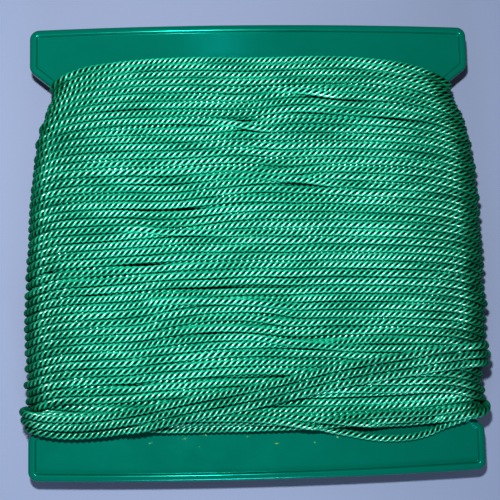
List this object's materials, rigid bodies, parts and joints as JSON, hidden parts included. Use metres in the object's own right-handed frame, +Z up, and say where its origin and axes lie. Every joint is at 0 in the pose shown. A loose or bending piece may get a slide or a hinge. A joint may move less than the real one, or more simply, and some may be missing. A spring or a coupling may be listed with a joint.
{
  "type": "flat hand line winder",
  "caption": "Flat plastic hand winder, H-shaped with two wide rimmed flanges, its neck wound full with twisted fishing line.",
  "frame": {"origin": "centre of the object in plan, on the surface that it lies on", "axes": "+X across the flanges, to the right; +Y along the height, towards the flange over which the line bows out further; +Z up, out of the front face"},
  "size_m": [0.1228, 0.123, 0.0218],
  "materials": {
    "frame_plastic": "moulded polypropylene, teal green, glossy",
    "line": "twisted nylon twine, three strands, bright green"
  },
  "bodies": {
    "root": {"winder_frame": "frame_plastic", "line_inner_layers": "line", "line_outer_turns": "line", "line_start_knot": "line"}
  },
  "joints": []
}
